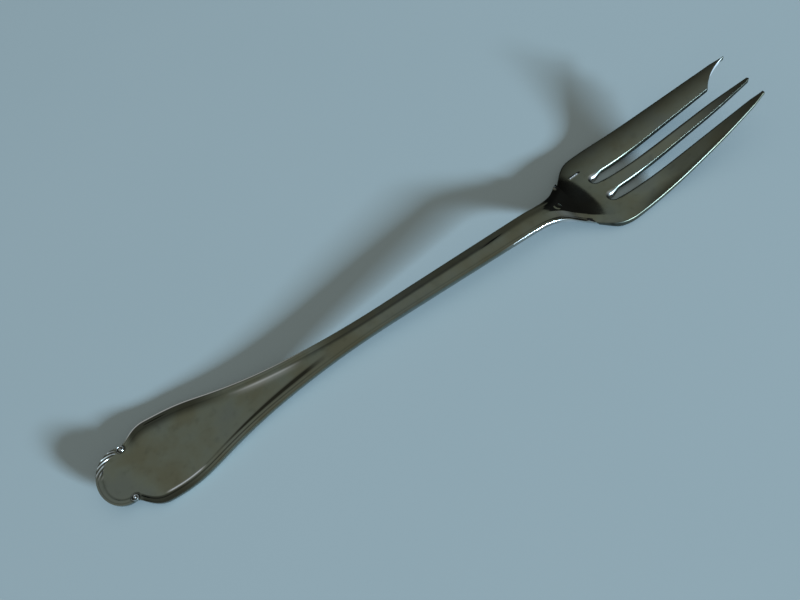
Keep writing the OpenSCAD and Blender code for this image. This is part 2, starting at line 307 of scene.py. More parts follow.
def make_piece(
    name: str, points: Array, faces: list[tuple[int, ...]], marks: dict[str, Array], material: bpy.types.Material
) -> bpy.types.Object:
    """Makes one smooth-shaded mesh object.

    Args:
        name: Name of the object.
        points: Rows of x, y and z in metres.
        faces: Corner numbers of each face, in order as seen from outside, with the flat end at the joint last.
        marks: Named values for each point, which the material reads.
        material: The finish.

    Returns:
        The object, linked into the scene.
    """
    mesh = bpy.data.meshes.new(name)
    mesh.from_pydata(points.tolist(), [], faces)
    mesh.validate()
    for mark, values in marks.items():
        layer = mesh.attributes.new(mark, "FLOAT", "POINT")
        layer.data.foreach_set("value", np.asarray(values, dtype=np.float32))
    mesh.materials.append(material)
    mesh.shade_smooth()
    mesh.set_sharp_from_angle(angle=math.radians(SHARP_FROM))
    end_face = set(mesh.polygons[-1].edge_keys)
    for side in mesh.edges:
        if side.key in end_face:
            side.use_edge_sharp = True
    piece = bpy.data.objects.new(name, mesh)
    bpy.context.scene.collection.objects.link(piece)
    return piece


@dataclass(frozen=True)
class TarnishedSilverPlate:
    """Silver plate on nickel silver, die struck and once polished, with years of sulphide tarnishing.

    To the eye it is a dark olive mirror: sharp reflections under a thin yellow-brown film, nearly black in the
    grooves and back to pale metal on the crests and edges that use has polished. The same two marks that carry
    this also paint light: paler metal for painted highlights, and black film for painted shade.
    """

    name: str
    worn_hex: str = "#D9DCDE"
    film_hex: str = "#71786C"
    bloom_hex: str = "#6B6D5C"
    blue_hex: str = "#6B736E"
    groove_hex: str = "#2E2F27"
    roughness: float = 0.055
    filed_roughness: float = 0.45
    cloud_mm: float = 14.0
    spot_mm: float = 2.6
    scratch_mm: float = 0.22
    scratch_length_mm: float = 9.0

    def make(self) -> bpy.types.Material:
        """Returns the material."""
        material = bpy.data.materials.new(self.name)
        material.use_nodes = True
        tree = material.node_tree
        tree.nodes.clear()
        place = add_node(tree, "ShaderNodeTexCoord").outputs["Object"]
        # The film is thicker in soft clouds about a thumb wide, browner in some and bluer in others.
        clouds = add_node(
            tree, "ShaderNodeTexNoise", inputs={"Vector": place, "Scale": per_mm(self.cloud_mm), "Detail": 3.0}
        )
        brown = add_node(
            tree,
            "ShaderNodeMapRange",
            {"interpolation_type": "SMOOTHSTEP"},
            {"Value": clouds.outputs["Fac"], "From Min": 0.42, "From Max": 0.66},
        )
        blue = add_node(
            tree,
            "ShaderNodeMapRange",
            {"interpolation_type": "SMOOTHSTEP"},
            {"Value": clouds.outputs["Fac"], "From Min": 0.5, "From Max": 0.3, "To Max": 0.7},
        )
        spots = add_node(
            tree, "ShaderNodeTexNoise", inputs={"Vector": place, "Scale": per_mm(self.spot_mm), "Detail": 6.0}
        )
        dusk = add_node(
            tree,
            "ShaderNodeMapRange",
            {"interpolation_type": "SMOOTHSTEP"},
            {"Value": spots.outputs["Fac"], "From Min": 0.5, "From Max": 0.8, "To Max": 0.2},
        )
        film = add_node(
            tree,
            "ShaderNodeMix",
            {"data_type": "RGBA"},
            {0: brown.outputs[0], 6: linear(self.film_hex), 7: linear(self.bloom_hex)},
        )
        film = add_node(
            tree,
            "ShaderNodeMix",
            {"data_type": "RGBA"},
            {0: blue.outputs[0], 6: film.outputs[2], 7: linear(self.blue_hex)},
        )
        film = add_node(
            tree,
            "ShaderNodeMix",
            {"data_type": "RGBA"},
            {0: dusk.outputs[0], 6: film.outputs[2], 7: linear(self.groove_hex)},
        )
        # Crests and edges that hands and cloths rub are paler, and grooves hold black film. The same marks also paint
        # light: paler metal for painted highlights, and black for painted shade.
        rubbed_and_highlit = add_node(tree, "ShaderNodeAttribute", {"attribute_name": "worn"})
        worn = add_node(
            tree,
            "ShaderNodeMix",
            {"data_type": "RGBA"},
            {0: rubbed_and_highlit.outputs["Fac"], 6: film.outputs[2], 7: linear(self.worn_hex)},
        )
        groove = add_node(tree, "ShaderNodeAttribute", {"attribute_name": "groove"})
        colour = add_node(
            tree,
            "ShaderNodeMix",
            {"data_type": "RGBA"},
            {0: groove.outputs["Fac"], 6: worn.outputs[2], 7: linear(self.groove_hex)},
        )
        rough = add_node(
            tree,
            "ShaderNodeMapRange",
            inputs={
                "Value": spots.outputs["Fac"],
                "From Min": 0.3,
                "From Max": 0.8,
                "To Min": self.roughness * 0.85,
                "To Max": self.roughness * 1.5,
            },
        )
        filed = add_node(tree, "ShaderNodeAttribute", {"attribute_name": "filed"})
        rough = add_node(
            tree,
            "ShaderNodeMix",
            inputs={0: filed.outputs["Fac"], 2: rough.outputs[0], 3: self.filed_roughness},
        )
        # Fine scratches from use run mostly along the fork, each about as wide as a hair is drawn here, so that
        # they still show: real ones are ten times finer.
        scratches = None
        for turn in (0.12, -0.5):
            along = add_node(
                tree,
                "ShaderNodeMapping",
                inputs={
                    "Vector": place,
                    "Rotation": (0.0, 0.0, turn),
                    "Scale": (per_mm(self.scratch_length_mm), per_mm(self.scratch_mm), per_mm(self.scratch_mm)),
                },
            )
            lines = add_node(
                tree, "ShaderNodeTexNoise", inputs={"Vector": along.outputs[0], "Scale": 1.0, "Detail": 4.0}
            )
            scratches = add_node(
                tree,
                "ShaderNodeBump",
                inputs={"Strength": 0.1, "Distance": 0.02 * MM, "Height": lines.outputs["Fac"]}
                | ({"Normal": scratches.outputs[0]} if scratches else {}),
            )
        metal = add_node(
            tree,
            "ShaderNodeBsdfPrincipled",
            inputs={
                "Base Color": colour.outputs[2],
                "Metallic": 1.0,
                "Roughness": rough.outputs[0],
                "Normal": scratches.outputs[0],
            },
        )
        add_node(tree, "ShaderNodeOutputMaterial", inputs={"Surface": metal.outputs[0]})
        return material


@dataclass(frozen=True)
class PaintedTable:
    """A pale blue-grey table top in matt paint: even colour, with a faint cloudiness."""

    name: str = "table_paint"
    pale_hex: str = "#98A4A5"
    cloudy_hex: str = "#95A2A3"
    roughness: float = 0.9
    cloud_mm: float = 90.0

    def make(self) -> bpy.types.Material:
        """Returns the material."""
        material = bpy.data.materials.new(self.name)
        material.use_nodes = True
        tree = material.node_tree
        tree.nodes.clear()
        place = add_node(tree, "ShaderNodeTexCoord").outputs["Object"]
        clouds = add_node(
            tree, "ShaderNodeTexNoise", inputs={"Vector": place, "Scale": per_mm(self.cloud_mm), "Detail": 2.0}
        )
        colour = add_node(
            tree,
            "ShaderNodeMix",
            {"data_type": "RGBA"},
            {0: clouds.outputs["Fac"], 6: linear(self.pale_hex), 7: linear(self.cloudy_hex)},
        )
        paint = add_node(
            tree,
            "ShaderNodeBsdfPrincipled",
            inputs={"Base Color": colour.outputs[2], "Roughness": self.roughness, "Specular IOR Level": 0.0},
        )
        add_node(tree, "ShaderNodeOutputMaterial", inputs={"Surface": paint.outputs[0]})
        return material


class Side(Enum):
    """The two sides of the fork, as signs of the sideways distance."""

    LEFT = 1
    RIGHT = -1


@dataclass
class Handle:
    """Blade with thread border, lobe, volutes and leaf strokes, running into the arched stem and the neck."""

    form: ForkForm
    finish: TarnishedSilverPlate
    border_share: float = 1.75
    stem_crown: float = 0.55
    thread_on_stem: float = 0.18
    thread_on_lobe: float = 0.42
    bevel: float = 0.2
    back_round: float = 0.9
    volute_at: tuple[float, float] = (8.3, 8.1)
    volute_radius: float = 1.45
    volute_pitch: float = 0.75
    volute_height: float = 0.42
    stroke_pitch: float = 2.5
    stroke_slant: float = 2.7
    stroke_height: float = 0.34
    nub_radius: float = 0.75
    nub_height: float = 0.4
    eye_at: tuple[float, float] = (155.6, 0.7)
    eye_radius: float = 1.0
    eye_height: float = 0.1
    border_steps: int = 40
    field_steps: int = 9
    under_steps: int = 12
    piece: bpy.types.Object | None = None

    def stations(self) -> Array:
        """Returns the distances at which cross sections stand, closest where the outline turns fast."""
        form = self.form
        round_lobe = form.lobe_length * (1 - np.cos(np.linspace(0.0, math.pi / 2, 110)))
        return np.concatenate((
            round_lobe[:-1],
            np.linspace(form.lobe_length, 16.0, 90, endpoint=False),
            np.linspace(16.0, 40.0, 60, endpoint=False),
            np.linspace(40.0, form.neck - 18, 110, endpoint=False),
            np.linspace(form.neck - 18, form.neck, 90),
        ))

    def spine(self, x: Array) -> Array:
        """Returns where the cross line that starts at x on the outline meets the axis."""
        reach = self.form.lobe_length
        return np.where(x < 2 * reach, reach + x * x / (4 * reach), x)

    def relief(self, x: Array, d: Array, reach: Array, thread: Array) -> Array:
        """Returns the height over the field at distance d inside the outline.

        Args:
            x: Where the cross line starts on the outline.
            d: Distance along that line from the outline.
            reach: Length of the line.
            thread: Width of the thread there.

        Returns:
            Heights of the thread border and the crown of the middle.
        """
        form = self.form
        height = form.thread_height * mix(form.neck_rise, 1.0, form.behind_neck(x))
        height = height * mix(1.0, self.thread_on_stem, form.slimness(x))
        height = height * mix(self.thread_on_lobe, 1.0, ease((x - form.lobe_length) / 5))
        foot = self.border_share * thread
        inner = np.clip((reach - d) / (reach - foot), 0.0, 1.0)
        flatter = mix(1.0, 0.35, ease((x - form.neck + 36) / 16))
        swell = self.stem_crown * form.slimness(x) * flatter - 0.12 * ease((x - form.taper_from) / 20)
        middle = form.behind_neck(x) * swell * (1 - inner**2)
        return height * form.thread_profile(d / thread) + np.where(d < foot, 0.0, middle)

    def volutes(self, px: Array, py: Array) -> Array:
        """Returns the height of the small scrolls in which lobe and blade borders curl up, between 0 and 1."""
        height = np.zeros_like(px)
        for side in Side:
            away_x = px - self.volute_at[0]
            away_y = side.value * py - self.volute_at[1]
            radius = np.hypot(away_x, away_y)
            turn = np.arctan2(away_y, away_x) / (2 * np.pi)
            coil = 0.5 + 0.5 * np.cos(2 * np.pi * (radius / self.volute_pitch - turn))
            ring = coil * ease((self.volute_radius - radius) / 0.45)
            height = np.maximum(height, np.maximum(ring, 1.1 * hump(radius, 0.4)))
        return height

    def strokes(self, run: Array, d: Array) -> Array:
        """Returns the height of the leaf strokes on the lobe's left rim, between 0 and 1.

        Args:
            run: Distance along the outline from the end of the handle.
            d: Distance inside the outline.

        Returns:
            Ridges that start at the outer edge and lean inwards towards the volute.
        """
        wave = 0.5 + 0.5 * np.cos(2 * np.pi * (run - self.stroke_slant * d) / self.stroke_pitch)
        along = ease((run - 1.0) / 3.0) * ease((13.2 - run) / 1.5)
        return wave**1.4 * along * ease(d / 0.25) * ease((2.3 - d) / 0.7)

    def nubs(self, px: Array, py: Array) -> Array:
        """Returns the height of the small nubs in which the thread ends at the neck, between 0 and 1."""
        radius = np.hypot(px - (self.form.neck - 1.0), np.abs(py) - (self.form.neck_half_width - 0.9))
        return hump(radius, self.nub_radius)

    def eye(self, px: Array, py: Array) -> Array:
        """Returns the height of the small ring in the middle of the neck, between 0 and 1."""
        radius = np.hypot(px - self.eye_at[0], py - self.eye_at[1])
        return hump(radius - self.eye_radius, 0.35) + 0.6 * hump(radius, 0.3)

    def pale_wear_and_highlights(self, side: Side, px: Array, d: Array, thread: Array) -> Array:
        """Returns how pale the border's metal is drawn, between 0 and 1: rubbing and painted highlights.

        Args:
            side: The side of the fork.
            px: Distances along the fork.
            d: Distances inside the outline.
            thread: Width of the thread.

        Returns:
            Paler metal on the left rim, partly rubbing and partly a painted highlight line, and painted highlights on
            two crests inside the left border, on the streak beside the lobe and along the right edge near the neck.
        """
        if side is Side.LEFT:
            # The left rim is paler, partly rubbing and partly a painted highlight line; two crests inside the left
            # border are a painted highlight streak.
            rim = hump(d - 0.16 * thread, 0.26) * ease((px - 9) / 3) * mix(1.0, 0.7, ease((px - 26) / 20))
            crest = 0.6 * hump(d - 3.05, 0.4) + 0.25 * hump(d - 3.7, 0.9)
            return np.clip(rim * ease((74 - px) / 22) + crest * ease((px - 40) / 12) * ease((67 - px) / 9), 0, 1)
        # Painted highlights: the streak beside the lobe, and a pale line along the right edge towards the neck.
        return np.maximum(self.highlight_streak(px, d), 0.6 * (1 - ease(d / self.bevel)) * ease((px - 130) / 10))

    def highlight_streak(self, px: Array, d: Array) -> Array:
        """Returns the height, between 0 and 1, of a low ridge on the right border's inner edge by the lobe: a painted
        highlight streak.
        """
        return hump(d - 2.55, 0.27) * ease((px - 15.5) / 2.5) * ease((29 - px) / 3)

    def tarnish_and_painted_shade(self, side: Side, px: Array, d: Array, thread: Array) -> Array:
        """Returns how black the border and the stem are, between 0 and 1.

        Args:
            side: The side of the fork.
            px: Distances along the fork.
            d: Distances inside the outline.
            thread: Width of the thread.

        Returns:
            The share of black: tarnished lines in the grooves, a dark line inside the right border, slightly darker
                all
            over the stem, and painted shade: broad dark bands inside the left border near the lobe, down the stem's
                left
            side and inside the right border beside the lobe, where the metal mirrors dark parts of the room.
        """
        slim = self.form.slimness(px)
        lines = 0.45 * hump(d / thread - 0.36, 0.07) + mix(0.35, 0.25, slim) * hump(d / thread - 1.12, 0.12)
        if side is Side.LEFT:
            # Painted shade: a dark band inside the left border near the lobe, and a darker left side down the stem.
            shade = 0.8 * ease((46 - px) / 16) * ease((px - 9.5) / 3) * (1 - ease((d - 2.2) / 3.4)) * ease((d - 0.3) / 0.3)
            stem = ease((px - 64) / 18) * (0.5 + 0.18 * hump(px - 120, 26))
            shade = shade + stem * (1 - ease((d - 1.7) / 1.8))
            return np.clip(np.maximum(lines, shade) + 0.12 * slim, 0, 1)
        # Painted shade: a dark band inside the right border beside the lobe.
        shade = 0.8 * ease((34 - px) / 18) * ease((px - 8.5) / 2) * (1 - ease((d - 2.0) / 0.5))
        # A dark line along the inside of the right border, with a fainter one beside it.
        deep = ease((px - 26) / 18) * ease((75 - px) / 13)
        line = deep * np.minimum(1.0, 1.6 * hump(d - 2.85, mix(0.28, 0.55, ease((px - 34) / 22))))
        fine = 0.4 * ease((px - 24) / 5) * hump(d - 2.75, 0.22) * ease((72 - px) / 20)
        return np.clip(np.maximum(np.maximum(lines, shade), np.maximum(line, fine)) + 0.12 * slim, 0, 1)

    def build(self) -> "Handle":
        """Builds the mesh and returns the handle."""
        form = self.form
        x = self.stations()[:, None]
        width = form.handle_half_width(x)
        reach = np.hypot(self.spine(x) - x, width)
        thread = form.thread_width(x)
        border = np.minimum(0.75 * reach, mix(3.6, self.border_share * thread + 1.2 * form.slimness(x), ease((x - 66) / 12)))
        close = np.linspace(0.0, 1.0, self.border_steps + 1)[None, :]
        loose = np.linspace(0.0, 1.0, self.field_steps + 1)[None, 1:]
        top = np.hstack((border * close, mix(border, reach, loose)))
        low = self.back_round * np.sin(np.linspace(0, math.pi / 2, 6))[None, :] ** 2 + 0 * x
        loose = np.linspace(0.0, 1.0, self.under_steps + 1)[None, 1:]
        under = np.hstack((low, mix(low[:, -1:], reach, loose)))
        outline = np.hstack((x, width))
        run = np.concatenate(([0.0], np.cumsum(np.hypot(*np.diff(outline, axis=0).T))))[:, None]

        halves: dict[tuple[Side, bool], Array] = {}
        marks: dict[tuple[Side, bool], tuple[Array, Array, Array]] = {}
        for side in Side:
            share = top / reach
            px = mix(x, self.spine(x), share)
            py = side.value * width * (1 - share)
            relief = self.relief(x, top, reach, thread)
            scroll = self.volutes(px, py)
            near = np.maximum(
                ease((self.volute_radius + 0.2 - np.hypot(px - self.volute_at[0], np.abs(py) - self.volute_at[1])) / 0.4),
                0.0,
            )
            relief = mix(relief, self.volute_height * scroll + 0.05, near)
            leaf = self.strokes(run, top) * (1 - near) if side is Side.LEFT else 0.0 * px
            leafy = ease((run - 1.0) / 3.0) * ease((13.2 - run) / 1.5) * ease((2.3 - top) / 0.7)
            leafy = leafy * (1 - near) if side is Side.LEFT else 0.0 * px
            relief = mix(relief, 0.35 * relief + self.stroke_height * leaf + 0.02, leafy)
            nub = self.nubs(px, py)
            relief = relief + self.nub_height * nub * ease((form.neck - px) / 1.2) + self.eye_height * self.eye(px, py)
            fold = (side is Side.RIGHT) * ease((px - 130) / 10)
            drop = self.bevel * (1 - ease(top / self.bevel)) * fold
            streak = (side is Side.RIGHT) * self.highlight_streak(px, top)
            z = form.field_level(px) + relief + 0.12 * streak - drop - form.outward_tilt(px, top) * fold
            halves[side, True] = np.dstack((px + form.lean(x, z), py, z))
            # Painted sheen: a band on the neck's right border is a little paler, as well as rougher.
            band = (side is Side.RIGHT) * form.rubbed_sheen_band(px, top)
            worn = np.maximum(self.pale_wear_and_highlights(side, px, top, thread) * (1 - near) * (1 - leafy), 0.22 * band)
            worn = np.clip(np.maximum(worn, 0.55 * scroll * near + 0.55 * leaf + 0.5 * nub), 0.0, 1.0)
            black_and_shade = self.tarnish_and_painted_shade(side, px, top, thread) * (1 - near)
            black_and_shade = np.maximum(black_and_shade, 0.8 * near * (1 - np.clip(scroll, 0, 1)))
            black_and_shade = np.maximum(black_and_shade * (1 - leafy), 0.7 * leafy * (1 - leaf) ** 2)
            filed = np.clip(0.8 * scroll * near + 0.8 * leaf + 2.0 * drop + band + streak, 0.0, 1.0)
            marks[side, True] = (worn, np.clip(black_and_shade, 0.0, 1.0), filed)

            share = under / reach
            px = mix(x, self.spine(x), share)
            py = side.value * width * (1 - share)
            shoulder = np.maximum(0.0, 1 - under / self.back_round)
            rise = mix(0.3, 0.5, ease((x - form.taper_from) / 50)) * (1 - share) ** 2
            rise = rise + 0.7 * self.back_round * (1 - np.sqrt(1 - shoulder**2))
            z = np.maximum(0.0, form.underside(px) + rise)
            halves[side, False] = np.dstack((px + form.lean(x, z), py, z))
            # Painted highlight: near the neck on the right the underside's edge is paler and rougher; elsewhere that
            # edge is a little paler from rubbing, and paler where it rests on the table.
            neck_glint = (side is Side.RIGHT) * hump(px - form.neck + 6.0, 4.5)
            worn = (0.25 + 0.65 * neck_glint) * shoulder + 0.2 * (z < 0.02)
            marks[side, False] = (worn, 0.0 * z, (0.4 + 0.6 * neck_glint) * shoulder)

        def around(pick: Any) -> Array:
            """Joins the four half sections into rings: left top, right top, right underside, left underside."""
            return np.concatenate(
                (
                    pick(Side.LEFT, True),
                    pick(Side.RIGHT, True)[:, -2::-1],
                    pick(Side.RIGHT, False),
                    pick(Side.LEFT, False)[:, -2::-1],
                ),
                axis=1,
            )

        points = around(lambda side, upper: halves[side, upper])
        worn, black_and_shade, filed = (around(lambda side, upper: marks[side, upper][k]).ravel() for k in range(3))
        rows, ring = points.shape[:2]
        faces: list[tuple[int, ...]] = []
        for i in range(rows - 1):
            for k in range(ring):
                n = (k + 1) % ring
                faces.append((i * ring + k, i * ring + n, (i + 1) * ring + n, (i + 1) * ring + k))
        faces.append(tuple(range((rows - 1) * ring, rows * ring)))
        self.piece = make_piece(
            "handle_struck_blank",
            form.in_frame(points.reshape(-1, 3)),
            faces,
            {"worn": worn, "groove": black_and_shade, "filed": filed},
            self.finish.make(),
        )
        weld = self.piece.modifiers.new("fold_of_the_end", "WELD")
        weld.merge_threshold = 0.002 * MM
        return self

    def dress(self) -> None:
        """Puts the handle in the place of its solid."""
        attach(self.piece, "root")
        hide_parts("handle")


class Tine(Enum):
    """The three tines, from the fork's right to its left."""

    OUTER = 0
    MIDDLE = 1
    CUTTING = 2


@dataclass
class Head:
    """Palm with two slots and three tines: a wide cutting tine, a slim middle tine and a pointed outer tine."""

    form: ForkForm
    finish: TarnishedSilverPlate
    slot_width: float = 3.6
    slot_root: float = 9.6
    middle_root: float = 5.2
    middle_waist: float = 3.3
    middle_point: float = 13.0
    middle_tip: float = 1.2
    middle_side: float = 0.95
    middle_short: float = 1.6
    cut_length: float = 11.1
    cut_hollow: float = 1.3
    edge_round: float = 0.45
    soft_edge: float = 0.5
    root_bevel: float = 1.7
    tip_taper: float = 5.0
    end_round: float = 0.35
    ridge_from: tuple[float, float] = (166.3, 9.3)
    ridge_to: tuple[float, float] = (171.8, 10.4)
    ridge_height: float = 0.5
    inset: float = 0.02
    columns: tuple[int, int, int] = (26, 18, 48)
    slot_columns: int = 28
    palm_rows: int = 90
    rounding_steps: int = 4
    piece: bpy.types.Object | None = None

    @property
    def root(self) -> float:
        """Distance at which the slots' straight sides begin."""
        return self.form.neck + self.slot_root + self.slot_width / 2

    @property
    def slot_sides(self) -> tuple[float, float]:
        """Sideways distances of the two slots' right walls."""
        return self.middle_side - self.middle_root / 2 - self.slot_width, self.middle_side + self.middle_root / 2

    def cut_side(self, x: Array) -> Array:
        """Returns the cutting tine's inner edge: straight to the barb, then the concave arc of the cut."""
        form = self.form
        inner = self.slot_sides[1] + self.slot_width
        start = np.array((form.length - self.cut_length, inner))
        end = np.array((form.length, form.cutting_tip_side - 0.8))
        chord = end - start
        radius = chord @ chord / 8 / self.cut_hollow + self.cut_hollow / 2
        normal = np.array((chord[1], -chord[0])) / np.hypot(*chord)
        centre = (start + end) / 2 + (radius - self.cut_hollow) * normal
        arc = centre[1] + np.sqrt(np.maximum(0.0, radius**2 - (x - centre[0]) ** 2))
        return np.where(x <= start[0], inner, arc)

    def middle_half(self, x: Array) -> Array:
        """Returns the half width of the middle tine, which tapers, then narrows faster to a round end."""
        radius = self.middle_tip / 2
        end = self.form.length - self.middle_short
        straight = RoundedLine((
            (self.root, self.middle_root / 2),
            (end - self.middle_point, self.middle_waist / 2, self.middle_point / 2),
            (end - radius, radius),
        )).at(x)
        tip = np.sqrt(np.maximum(0.0, radius**2 - (x - end + radius) ** 2))
        return np.where(x < end - radius, straight, tip)

    def sides(self, tine: Tine, x: Array) -> tuple[Array, Array]:
        """Returns the right and left edge of a tine at x."""
        if tine is Tine.OUTER:
            near_tip = 0.32 * ease(1 - (self.form.outer_end - x) / self.tip_taper)
            return near_tip - self.form.right_line.at(x), self.slot_sides[0] - near_tip + 0 * x
        if tine is Tine.MIDDLE:
            half = self.middle_half(x)
            return self.middle_side - half, self.middle_side + half
        return self.cut_side(x), self.form.left_line.at(x) - 0.45 * ease(1 - (self.form.length - x) / self.tip_taper)

    def rows(self, tine: Tine) -> Array:
        """Returns the distances of a tine's cross rows."""
        form = self.form
        if tine is Tine.OUTER:
            return np.linspace(self.root, form.outer_end, 81)[1:]
        if tine is Tine.MIDDLE:
            radius = self.middle_tip / 2
            end = form.length - self.middle_short
            turn = np.radians(np.linspace(0, 82, 8))[1:]
            return np.concatenate((np.linspace(self.root, end - radius, 71)[1:], end - radius * (1 - np.sin(turn))))
        barb = form.length - self.cut_length
        return np.concatenate((np.linspace(self.root, barb, 61)[1:], np.linspace(barb, form.length, 31)[1:]))

    def plan(self, share: float, across: float) -> Array:
        """Lays out the head's net in plan.

        Args:
            share: Share of the edge's rounding by which the net stands back from the outline.
            across: Width of that rounding.

        Returns:
            Rows of distance, sideways distance and local depth of the rounding, palm first and then each tine.
        """
        form = self.form
        stand = share * across + self.inset
        radius = self.slot_width / 2
        root_row: list[Array] = []
        for tine in Tine:
            right, left = (float(v) for v in self.sides(tine, np.array(self.root)))
            places = np.linspace(0.0, 1.0, self.columns[tine.value] + 1)
            root_row.append(np.column_stack((0 * places + self.root, mix(right + stand, left - stand, places))))
            if tine is not Tine.CUTTING:
                turn = np.linspace(0.0, math.pi, self.slot_columns + 1)[1:-1]
                centre = (self.root, self.slot_sides[tine.value] + radius)
                root_row.append(centre - (radius + stand) * np.column_stack((np.sin(turn), np.cos(turn))))
        row = np.vstack(root_row)

        def palm_sides(x: Array) -> tuple[Array, Array]:
            """Returns the palm's right and left edge, stood back."""
            right = -form.right_line.at(x) + stand * form.right_line.stretch(x)
            return right, form.left_line.at(x) - stand * form.left_line.stretch(x)

        right, left = palm_sides(row[:, 0])
        places = (row[:, 1] - right) / (left - right)
        x = mix(form.neck, row[None, :, 0], np.linspace(0.0, 1.0, self.palm_rows + 1)[:, None])
        right, left = palm_sides(x)
        palm = np.dstack((x, mix(right, left, places[None, :]), 0 * x + self.edge_round))
        nets = [palm.reshape(-1, 3)]
        for tine in Tine:
            rows = self.rows(tine)
            rows = rows - self.end_round * share * np.arange(1, len(rows) + 1) / len(rows)
            right, left = self.sides(tine, rows)
            deep = np.minimum(self.edge_round, 0.35 * (left - right))
            keen = 1.0 if tine is Tine.OUTER else mix(1.0, 0.14, ease((rows - self.root - 7) / 12))
            if tine is Tine.CUTTING:
                keen = np.where(rows > form.length - self.cut_length + 0.2, 0.25, keen)
            wide = self.inset + share * np.minimum(across * keen, 0.4 * (left - right))
            places = np.linspace(0.0, 1.0, self.columns[tine.value] + 1)[None, :]
            y = mix((right + wide)[:, None], (left - wide)[:, None], places)
            net = np.dstack((rows[:, None] + 0 * y, y, deep[:, None] + 0 * y))
            nets.append(net.reshape(-1, 3))
        return np.vstack(nets)

    def numbering(self) -> list[Array]:
        """Returns grids of point numbers: the palm's, then each tine's with the palm's last row as its first."""
        across = sum(self.columns) + 2 * self.slot_columns
        palm = np.arange((self.palm_rows + 1) * (across + 1)).reshape(self.palm_rows + 1, across + 1)
        grids = [palm]
        start, first = palm.size, 0
        for tine in Tine:
            count, wide = len(self.rows(tine)), self.columns[tine.value] + 1
            own = start + np.arange(count * wide).reshape(count, wide)
            grids.append(np.vstack((palm[-1, first : first + wide], own)))
            start += own.size
            first += self.columns[tine.value] + self.slot_columns
        return grids

    def build(self) -> "Head":
        """Builds the mesh and returns the head."""
        form = self.form
        grids = self.numbering()
        palm = grids[0]
        edge: list[int] = palm[:, -1].tolist()
        first = [0]
        for count in self.columns[:2]:
            first.append(first[-1] + count + self.slot_columns)
        for tine in (Tine.CUTTING, Tine.MIDDLE, Tine.OUTER):
            grid = grids[tine.value + 1]
            edge += grid[1:, -1].tolist() + grid[-1, -2:0:-1].tolist() + grid[:0:-1, 0].tolist()
            if tine is not Tine.OUTER:
                before = tine.value - 1
                last = first[before] + self.columns[before]
                edge += palm[-1, last : first[tine.value] + 1][::-1].tolist()
        edge += palm[::-1, 0].tolist()

        def lifted(net: Array, drop: float, upper: bool) -> Array:
            """Gives a net in plan its heights, on the top face or the underside."""
            x, y, deep = net.T
            half = (form.left_line.at(x) + form.right_line.at(x)) / 2
            off = (y - form.left_line.at(x) + half) / half
            fade = 1 - ease((x - self.root) / (form.length - self.root))
            dish = form.palm_hollow * off**2 * ease((x - form.neck) / 12) * fade
            if upper:
                z = form.field_level(x) + dish + self.ridge_height * self.ridge(x, y) - drop * deep
                z = z - form.outward_tilt(x, form.right_line.at(x) + y)
            else:
                z = np.maximum(0.0, form.underside(x) + dish) + drop * deep
            return np.column_stack((x + form.lean(x, z), y, z))

        full = self.plan(1.0, self.soft_edge)
        count, rim = len(full), len(edge)
        turns = np.linspace(0, math.pi / 2, self.rounding_steps + 1)[1:]
        layers = [lifted(full, 0.0, True), lifted(self.plan(1.0, self.edge_round), 0.0, False)]
        for upper, across in ((True, self.soft_edge), (False, self.edge_round)):
            for turn in turns if upper else turns[::-1]:
                layers.append(lifted(self.plan(1 - math.sin(turn), across)[edge], 1 - math.cos(turn), upper))
        steps = len(layers) - 2
        for k, layer in enumerate(layers[2:]):
            layer[:, :2] += ease(np.array((k + 1) / (steps + 1))) * self.root_slope(full[edge])
        layers[1][edge, :2] += self.root_slope(full[edge])
        points = np.vstack(layers)
        faces: list[tuple[int, ...]] = []
        for grid in grids:
            a, b, c, d = grid[:-1, :-1], grid[1:, :-1], grid[1:, 1:], grid[:-1, 1:]
            cells = np.dstack((a, b, c, d)).reshape(-1, 4)
            faces += [tuple(cell) for cell in cells.tolist()]
            faces += [tuple(cell) for cell in (cells[:, ::-1] + count).tolist()]
        loops = [np.array(edge)]
        loops += [2 * count + k * rim + np.arange(rim) for k in range(2 * self.rounding_steps)]
        loops.append(np.array(edge) + count)
        for upper_loop, lower_loop in zip(loops, loops[1:]):
            strip = np.column_stack((upper_loop[:-1], upper_loop[1:], lower_loop[1:], lower_loop[:-1]))
            faces += [tuple(cell) for cell in strip.tolist()]
        ring = palm[0, ::-1].tolist() + [int(loop[-1]) for loop in loops[1:-1]]
        ring += (palm[0] + count).tolist() + [int(loop[0]) for loop in loops[-2:0:-1]]
        faces.append(tuple(ring[::-1]))
        x, y = full[:, 0], full[:, 1]
        worn, filed, black_and_shade = (np.zeros(len(points)) for _ in range(3))
        ridge = self.ridge(x, y)
        # The ridge's crest is paler and smoother: partly rubbing, partly a painted highlight.
        worn[:count] = ridge
        filed[:count] = 0.7 * ridge
        filed[2 * count :] = 1.0
        inner = np.abs(y[edge] - self.middle_side) < self.middle_root / 2 + self.slot_width + 1.2
        keen = inner * ease((x[edge] - self.root - 10) / 8)
        filed[2 * count : 2 * count + 2 * rim] = np.tile(mix(0.6, 1.0, keen), 2)
        # The top's painted shade and darkening, with a weaker copy on the underside.
        dark = self.tarnish_and_painted_shade(x, y)
        black_and_shade[:count] = dark
        black_and_shade[count : 2 * count] = 0.4 * dark
        outwards = self.plan(0.0, self.edge_round)[edge, :2] - full[edge, :2]
        outwards /= np.maximum(1e-9, np.hypot(outwards[:, :1], outwards[:, 1:]))
